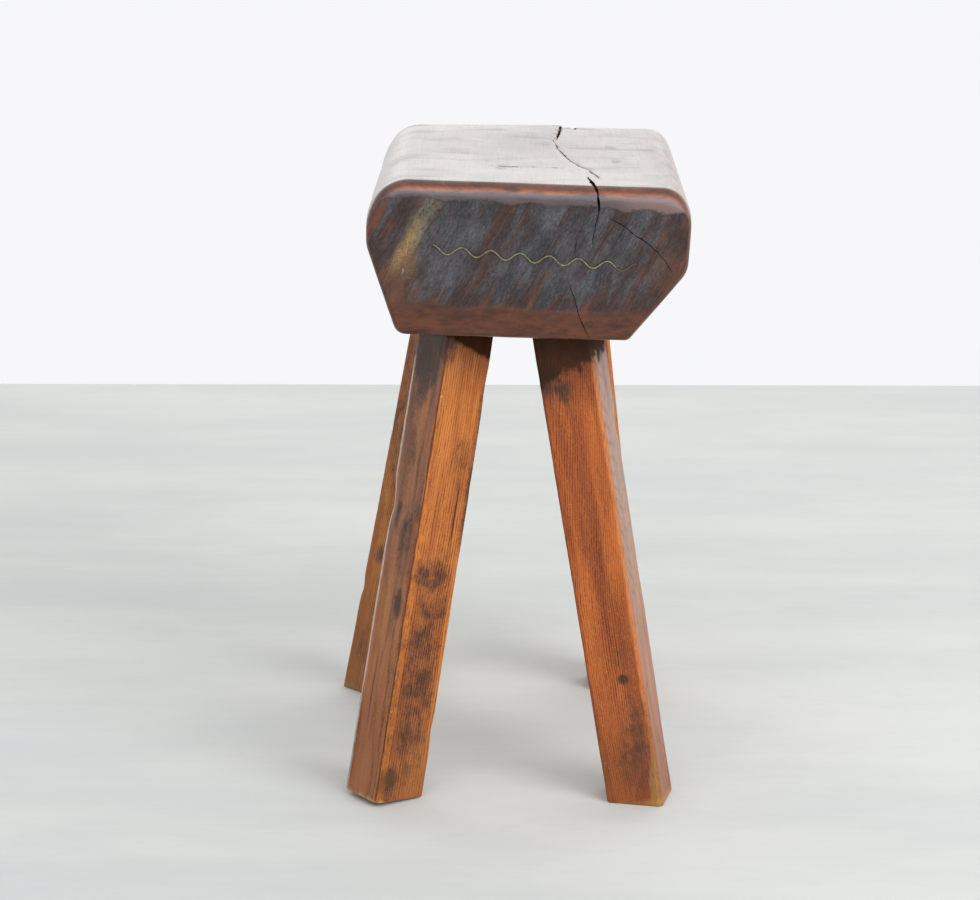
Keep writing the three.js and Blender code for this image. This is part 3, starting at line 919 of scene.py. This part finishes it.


# How each post's timber looks, in the post's own frame, where the faces lie about 22 from its middle.
# early, late and line colour the growth rings, ring is their width, and pith the tree's middle.
# bend is the height from which the grain leans, and its slope.
# One face greyed with painted light, a painted shade on the front-left post and a painted grey sheen on the
# front-right one: (side in x, strength, colour, none below this z, full above this z).
# The dark collar under the block, painted shadow with stain in it: height, slope along x, raggedness.
# Worn corners of fresher wood, and one pale painted highlight along a corner edge: (side in x, side in y,
# reach low down, reach high up, from z, to z, colour, strength, dark seam). A reach runs from the x face,
# below 0, to the y face, above 0.
# Blots are stains, and the highest ones on the front posts are painted shadow under the block; checks are
# short dark splits: (place, reach along each axis, strength).
# clean keeps a worn edge free of stains: (from x, up to z).
LOOKS = {
    "front_left": dict(
        early="9d501b", late="c47634", line="4d210b", pith=(-112, 12), ring=2.3, seed=1,
        bend=(400, 0.0), painted_face_light=(-1, 0.75, "4a3a34", -100, 330),
        collar_shadow_and_stain=(369.5, -0.36, 5), collar="261a15", foot="c4a673",
        worn_and_highlight_strips=[(-1, -1, (-3.0, 5.4), (-2.4, 1.6), 205, 262, "c26e22", 0.95, 1.0),
                # This pale strip is a painted highlight along the corner's edge.
                (-1, 1, (-4.4, -2.2), (-4.4, -2.2), 205, 262, "cdbdb6", 0.75, 0.0)],
        stain_and_shadow_blots=[
            ((-2, -22, 100), (24, 12, 100), 0.75), ((21, -22, 260), (5, 12, 90), 1.0),
            # These two on the left face, under the collar, are painted shadow under the block; the other
            # blots are stains.
            ((-22, 2, 376), (10, 30, 20), 1.9), ((-22, 1, 354), (10, 15, 20), 1.8),
            ((-22, 3, 335), (10, 8, 14), 1.3), ((-22, 4, 283), (10, 8, 15), 0.7),
            ((-22, 9, 230), (10, 4, 12), 1.2), ((-22, -16, 236), (10, 4, 11), 0.9),
            ((-22, -6, 215), (10, 14, 26), 0.75), ((-22, -9, 160), (10, 5, 11), 1.5),
            ((-22, -6, 140), (10, 4, 10), 0.6),
            ((6, -22, 284), (9, 10, 15), 0.6), ((8, -22, 262), (4, 10, 12), 0.5),
            ((-3, -22, 186), (20, 12, 15), 0.95), ((4, -22, 158), (19, 12, 16), 0.8),
            ((-4, -22, 132), (19, 12, 18), 0.9), ((2, -22, 98), (19, 12, 26), 0.95),
            ((-2, -22, 54), (19, 12, 18), 0.95), ((-13, -22, 18), (9, 12, 14), 1.3)],
        checks=[((9.7, -22, 236), (0.9, 3, 30), 0.9), ((-10, -22, 236), (0.6, 3, 30), 0.55),
                ((-22, 6.3, 88), (3, 0.8, 38), 0.85)],
        clean=(15, 205)),
    "front_right": dict(
        early="863a10", late="be6322", line="3d1908", pith=(-72, -3), ring=1.7, seed=2,
        bend=(165, 0.13), painted_face_light=(1, 0.86, "978a7c", -110, 300),
        collar_shadow_and_stain=(351.0, 0.38, 20), collar="372a22", foot="a8763a",
        worn_and_highlight_strips=[(1, -1, (-2.5, 3.6), (-2.0, 2.4), 60, 240, "c07238", 0.5, 0.0),
                (1, -1, (-3.0, 8.0), (4.0, -4.0), 10, 70, "a87a3c", 0.85, 0.0)],
        stain_and_shadow_blots=[
            # These two, just below the collar, are painted shadow under the block; the other blots are
            # stains.
            ((-16, -22, 346), (12, 12, 12), 1.5), ((-6, -22, 338), (8, 12, 9), 1.3),
            ((6.6, -22, 102), (4.2, 10, 3.8), 1.6), ((9, -22, 120), (10, 10, 12), 0.5),
            ((12, -22, 62), (12, 10, 28), 0.7), ((6, -22, 36), (18, 10, 24), 0.65),
            ((10, -22, 205), (10, 10, 12), 0.35), ((4, -22, 236), (12, 10, 10), 0.3),
            ((22, 2, 350), (8, 5, 34), 0.6)]),
    "rear_left": dict(
        early="9a5414", late="c6761f", line="46280a", pith=(-30, -128), ring=2.4, seed=3,
        bend=(0, 0.02), collar_shadow_and_stain=(374.0, 0.0, 10), collar="24160f", foot="8a6a3c",
        worn_and_highlight_strips=[(-1, 1, (-3.0, 2.0), (-3.0, 2.0), 60, 240, "b07430", 0.5, 0.0)],
        stain_and_shadow_blots=[
            ((-22, 6, 126), (10, 6, 8), 1.3), ((-22, -8, 300), (10, 8, 40), 0.6),
            ((-22, 0, 270), (10, 30, 110), 0.7), ((-22, 4, 40), (10, 14, 22), 0.4)]),
    "rear_right": dict(
        early="8c4a1e", late="b56c33", line="542a12", pith=(-80, -110), ring=2.4, seed=4,
        bend=(0, 0.02), collar_shadow_and_stain=(374.0, 0.0, 10), collar="2a1810", foot="8a6a3c",
        worn_and_highlight_strips=[(1, -1, (-3.0, 3.0), (-3.0, 3.0), 60, 240, "c47434", 0.6, 0.0)],
        stain_and_shadow_blots=[((-22, 0, 120), (10, 10, 30), 0.6)]),
}


def post_material(name, look):
    material, tree, paint = new_material("post_" + name)
    place = attribute(tree, "post_co")
    x, y, z = split(place)
    facing_x, _, _ = split(attribute(tree, "facing"))
    edge = attribute(tree, "edge", "Fac")
    seed = look["seed"] * 10.0
    half = POSTS[name]["sides"][0] / 2

    # Growth rings round a pith that lies outside the post.
    wander = grain(place, (26, 26, 130), 3, 0.5, seed=seed) * 7
    wander = wander + grain(place, (7, 7, 40), 2, seed=seed + 11) * 1.8
    bend_from, bend_slope = look["bend"]
    off_x = x - look["pith"][0] - (z - bend_from).at_least(0.0) * bend_slope
    off_y = y - look["pith"][1]
    ring = ((off_x * off_x + off_y * off_y).sqrt() + wander) * (1 / look["ring"])
    phase = ring.fract()
    fibre = grain(place, (0.6, 0.6, 34), 3, 0.6, seed=seed + 1)
    dashes = grain(place, (0.8, 0.8, 9), 2, 0.6, seed=seed + 2)
    tone = grain(place, (12, 12, 120), 4, 0.55, seed=seed + 3)
    crowd = grain(place, (17, 17, 260), 2, seed=seed + 6).step(0.38, 0.62)
    porous = phase.step(0.0, 0.14) * phase.step(0.5, 0.24)
    # Painted light on one face: shade on the front-left post's left face, a grey sheen on the front-right
    # post's right face.
    side, strength, tint, low_z, high_z = look.get("painted_face_light", (1, 0.0, "000000", 0, 1))
    face_light_share = (facing_x * side).step(0.4, 0.8) * z.step(low_z, high_z) * strength
    lines = porous * (0.4 + crowd * 0.6) * (0.3 + dashes.step(0.38, 0.6) * 0.7) * (1 - face_light_share * 0.6)
    ticks = dashes.step(0.6, 0.72) * (0.3 + porous * 0.7)
    streaks = grain(place, (7, 7, 90), 4, 0.6, seed=seed + 7)
    flecks = grain(place, (1.1, 1.1, 1.6), 3, 0.7, seed=seed + 12)
    ragged = grain(place, (4, 4, 26), 3, 0.6, seed=seed + 5)
    colours = layered(
        mix(tone.step(0.3, 0.7), look["early"], look["late"]),
        (fibre.step(0.42, 0.75) * 0.45, look["early"]),
        (lines * 0.85, look["line"]),
        (ticks * 0.6, "3a1c0e"),
        (face_light_share * (0.5 + streaks.step(0.36, 0.66) * 0.45), tint),
        (lines * face_light_share * 0.55, look["line"]),
        (flecks.step(0.52, 0.7) * 0.35, look["line"]),
        (flecks.step(0.46, 0.3) * 0.22, "e0a868"),
        (edge * ragged.step(0.42, 0.6) * 0.5, look["late"]))

    # Worn corners, each a strip of fresher wood with a dark line along it; the pale strip on the front-left
    # post is a painted highlight along its edge.
    nicks = grain(place, (2.2, 2.2, 5), 2, 0.6, seed=seed + 8).step(0.68, 0.74)
    for side_x, side_y, below, above, low_z, high_z, tint, strength, seam in look["worn_and_highlight_strips"]:
        to_y_face = y * side_y - x * side_x
        from_corner = 2 * half - x * side_x - y * side_y
        rise = z.step(low_z, high_z)
        jitter = (ragged - 0.5) * 3
        start = below[0] + rise * (above[0] - below[0]) + jitter
        end = below[1] + rise * (above[1] - below[1]) + jitter
        near_corner = from_corner.step(14, 12)
        strip = (to_y_face - start).step(-0.5, 0.5) * (end - to_y_face).step(-0.5, 0.5) * near_corner
        red = (to_y_face - start - 0.5).abs().step(1.4, 0.6) * near_corner
        colours = layered(
            colours,
            (strip * strength, tint),
            (red * seam * 0.9, "521c0a"),
            (strip * dashes.step(0.52, 0.66) * strength * 0.7, look["line"]),
            (strip * nicks * 0.5, "dcb994"))

    # Stains: blots with a mottled, speckled edge; the highest ones on the front posts are painted shadow
    # under the block.
    smudge = grain(place, (9, 9, 12), 5, 0.65, seed=seed + 4)
    speckle = grain(place, (1.3, 1.3, 2.2), 2, 0.6, seed=seed + 9)
    stain = None
    for centre, reach, strength in look["stain_and_shadow_blots"]:
        blot = (1.25 - apart((x, y, z), centre, reach) * 0.8).clamped() * strength
        stain = blot if stain is None else stain.at_least(blot)
    if "clean" in look:
        clean_x, clean_z = look["clean"]
        stain = stain * (1 - x.step(clean_x, clean_x + 4) * z.step(clean_z + 12, clean_z - 12))
    mottled = stain * 0.85 + (smudge - 0.5) * 2.3 + (speckle - 0.5) * 1.3 + (fibre - 0.5) * 0.5
    dark = mottled.step(0.15, 1.15) * stain.step(0.0, 0.35)
    colours = layered(
        colours, (stain.step(0.15, 0.9) * (0.25 + smudge * 0.4), "5a3826"), (dark * 0.78, "2a1b17"))
    for (px, py, pz), (rx, ry, rz), strength in look.get("checks", ()):
        sway = (grain(place, (30, 30, 16), 2, seed=seed + 10) - 0.5) * 2.4
        on_x_face = rx > ry
        across, middle, width = (y, py, ry) if on_x_face else (x, px, rx)
        split_line = apart((across + sway, z), (middle, pz), (width, rz))
        near_face = ((x - px) if on_x_face else (y - py)).abs().step(4, 3)
        colours = mix(split_line.step(1.1, 0.6) * near_face * strength, colours, "22120b")

    # The dark collar under the block: painted shadow with stain in it, and below it a fainter painted shade
    # that deepens up towards it.
    height, slope, tatter = look["collar_shadow_and_stain"]
    limit = z - x * slope - height + ((smudge - 0.5) * 1.6 + (streaks - 0.5) * 0.4) * tatter
    collar_shadow_and_stain = limit.step(-1.5 - tatter * 0.2, 2.5)
    paint("Base Color", layered(
        colours,
        # painted shade deepening upwards into the collar
        (limit.step(-42, 4) * 0.35, "4a2412"),
        (collar_shadow_and_stain * 0.88, look["collar"]),
        (z.step(120, 10) * (0.15 + tone * 0.4), "603614"),
        ((z + smudge * 10).step(9, 4) * 0.6, look["foot"])))
    paint("Roughness", 0.4 + fibre * 0.15 + dark * 0.1)
    sheen = (1 - collar_shadow_and_stain) * (1 - lines * 0.8)
    paint("Coat Weight", sheen * 0.22)
    paint("Specular IOR Level", sheen * 0.38)
    paint("Coat Roughness", 0.3)
    bumps(paint, (1 - ticks) * 0.5 + fibre * 0.4 - porous * 0.2, 0.35)
    return material


def wedge_material():
    material, tree, paint = new_material("split_wedge")
    place = coordinates(tree, "Object")
    fibres = grain(place, (1.2 * MM, 1.2 * MM, 22 * MM), 3, seed=31)
    paint("Base Color", mix(fibres.step(0.3, 0.7), "a8784a", "7d5230"))
    paint("Roughness", 0.7)
    bumps(paint, fibres, 0.2)
    return material


def iron_material():
    material, tree, paint = new_material("iron_strip")
    place = attribute(tree, "block_co")
    x, _, _ = split(place)
    pitting = grain(place, 1.4, 3, 0.6, seed=41)
    stain = grain(place, 9.0, 3, seed=42)
    bright = mix(pitting.step(0.35, 0.65), "7a725d", "a0977c")
    dirt = (stain + x.step(48, 82) * 0.3).step(0.5, 0.74)
    paint("Base Color", mix(dirt * 0.85, bright, "4a3a30"))
    paint("Roughness", 0.38 + pitting * 0.25 + dirt * 0.2)
    paint("Metallic", 0.75 - dirt * 0.6)
    bumps(paint, pitting, 0.15)
    return material


# ---- Camera, light and floor ----


def make_camera():
    data = bpy.data.cameras.new("camera")
    data.sensor_width = 36
    data.lens = 110.2
    data.clip_end = 50
    camera = add_object("camera", data)
    camera.location = (0.01092, -2.43555, 0.8392)
    camera.rotation_euler = (math.radians(90 - 13.586), 0, math.radians(0.538))
    bpy.context.scene.camera = camera


def area_light(name, place, target, size, power, tint=(1, 1, 1), mirrored=True):
    data = bpy.data.lights.new(name, "AREA")
    data.shape = "RECTANGLE"
    data.size, data.size_y = size
    data.energy = power
    data.color = tint
    light = add_object(name, data)
    light.location = place
    light.visible_glossy = mirrored
    light.rotation_euler = (Vector(target) - Vector(place)).to_track_quat("-Z", "Y").to_euler()


def make_world():
    """A pale studio: white down to the floor's far edge, a bright low band behind the stool, dimmer above."""
    world = bpy.data.worlds.new("studio")
    world.use_nodes = True
    tree = world.node_tree
    background = tree.nodes["Background"]
    _, depth, height = split(coordinates(tree, "Generated"))
    band = depth.step(0.15, 0.6) * height.step(0.0, 0.05) * height.step(0.42, 0.2)
    put(mix(height.step(-0.02, 0.02), "f9f9fb", "f9fcfb"), background.inputs["Color"])
    overhead = height.step(0.0, 0.5) * 0.5
    put(0.98 - overhead + band * 0.69, background.inputs["Strength"])
    bpy.context.scene.world = world


def make_floor():
    back, side, front = 1.4, 3.2, -3.6
    corners = [(-side, front, 0), (side, front, 0), (side, back, 0), (-side, back, 0)]
    floor = add_object("floor", new_mesh("floor", corners, [(0, 1, 2, 3)]))
    material, tree, paint = new_material("floor")
    place = coordinates(tree, "Object")
    clouds = grain(place, (0.5, 0.16, 0.5), 5, 0.6, seed=51)
    grains = grain(place, (0.03, 0.01, 0.03), 3, 0.6, seed=52)
    pale = mix(clouds.step(0.3, 0.7), "c8c9c8", "d3d3cf")
    paint("Base Color", mix(grains.step(0.5, 0.8) * 0.2, pale, "bfc0c0"))
    paint("Roughness", 0.5 + clouds * 0.2)
    paint("Specular IOR Level", 0.35)
    floor.data.materials.append(material)


# ---- Assembly ----


def build_block():
    block = make_block()
    bores = []
    to_block = np.linalg.inv(BLOCK_FRAME)
    for post, tenon_end in zip(POSTS.values(), TENON_ENDS.values()):
        radius = TENON_RADIUS + GAP
        low, high = tenon_end - TENON_LENGTH - BORE_LEAD, tenon_end + BORE_REST
        verts, faces = tube([
            [(math.cos(angle) * radius, math.sin(angle) * radius, z) for z in (low, high)]
            for angle in np.linspace(0, 2 * math.pi, BORE_SIDES + 1)[:-1]])
        placed = (to_block @ post_frame(post) @ np.c_[verts, np.ones(len(verts))].T).T[:, :3]
        bores.append((placed, faces))
    slot = strip_mesh(
        IRON["thickness"] + 2 * GAP, IRON["length"] + 2 * GAP, start=-3, end=IRON["depth"] + GAP, steps=141)
    cutter = add_object("cutters", merge("cutters", [*bores, slot]))
    timber, inside = block_material(), crack_material()
    blades = [blade(*crack, 100 + 10 * i) for i, crack in enumerate(CRACKS)]
    cracks = add_object("cracks", merge("cracks", blades))
    for piece in (block, cutter, cracks):
        piece.data.materials.append(timber)
        piece.data.materials.append(inside)
    cracks.data.polygons.foreach_set("material_index", [1] * len(cracks.data.polygons))
    cut_block(block, cutter)
    cut_block(block, cracks)
    finish_piece(block, "seat_timber_block", "seat_block", BLOCK_FRAME)


def build_iron():
    strip = strip_mesh(IRON["thickness"], IRON["length"], start=-IRON["proud"], end=IRON["depth"], steps=281)
    mesh = merge("iron", [strip])
    store(mesh, "block_co", positions(mesh))
    mesh.materials.append(iron_material())
    iron = add_object("iron", mesh)
    finish_piece(iron, "corrugated_iron_strip", "anti_split_iron", BLOCK_FRAME)


make_camera()
make_world()
area_light("key", (2.1, -2.0, 1.6), (0, 0, 0.3), (1.8, 1.6), 50, mirrored=False)
area_light("front", (0.3, -2.3, 2.7), (0, 0, 0.45), (5.2, 2.2), 72, (0.9, 0.945, 1.0))
area_light("back", (0.2, 1.9, 2.2), (0.1, 1.0, 0), (4.4, 1.3), 34, mirrored=False)
make_floor()

TENON_ENDS = {}
for number, (post_name, post) in enumerate(POSTS.items()):
    piece, TENON_ENDS[post_name] = make_post(post_name, post, 200 + 10 * number)
    finish_piece(piece, "post_" + post_name, "leg_" + post_name, post_frame(post))
build_block()
build_iron()
WEDGE = wedge_material()
for node_name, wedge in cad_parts.items():
    if node_name.startswith("fox_wedge"):
        wedge.data.materials.clear()
        wedge.data.materials.append(WEDGE)
bpy.context.scene.view_settings.view_transform = "Standard"
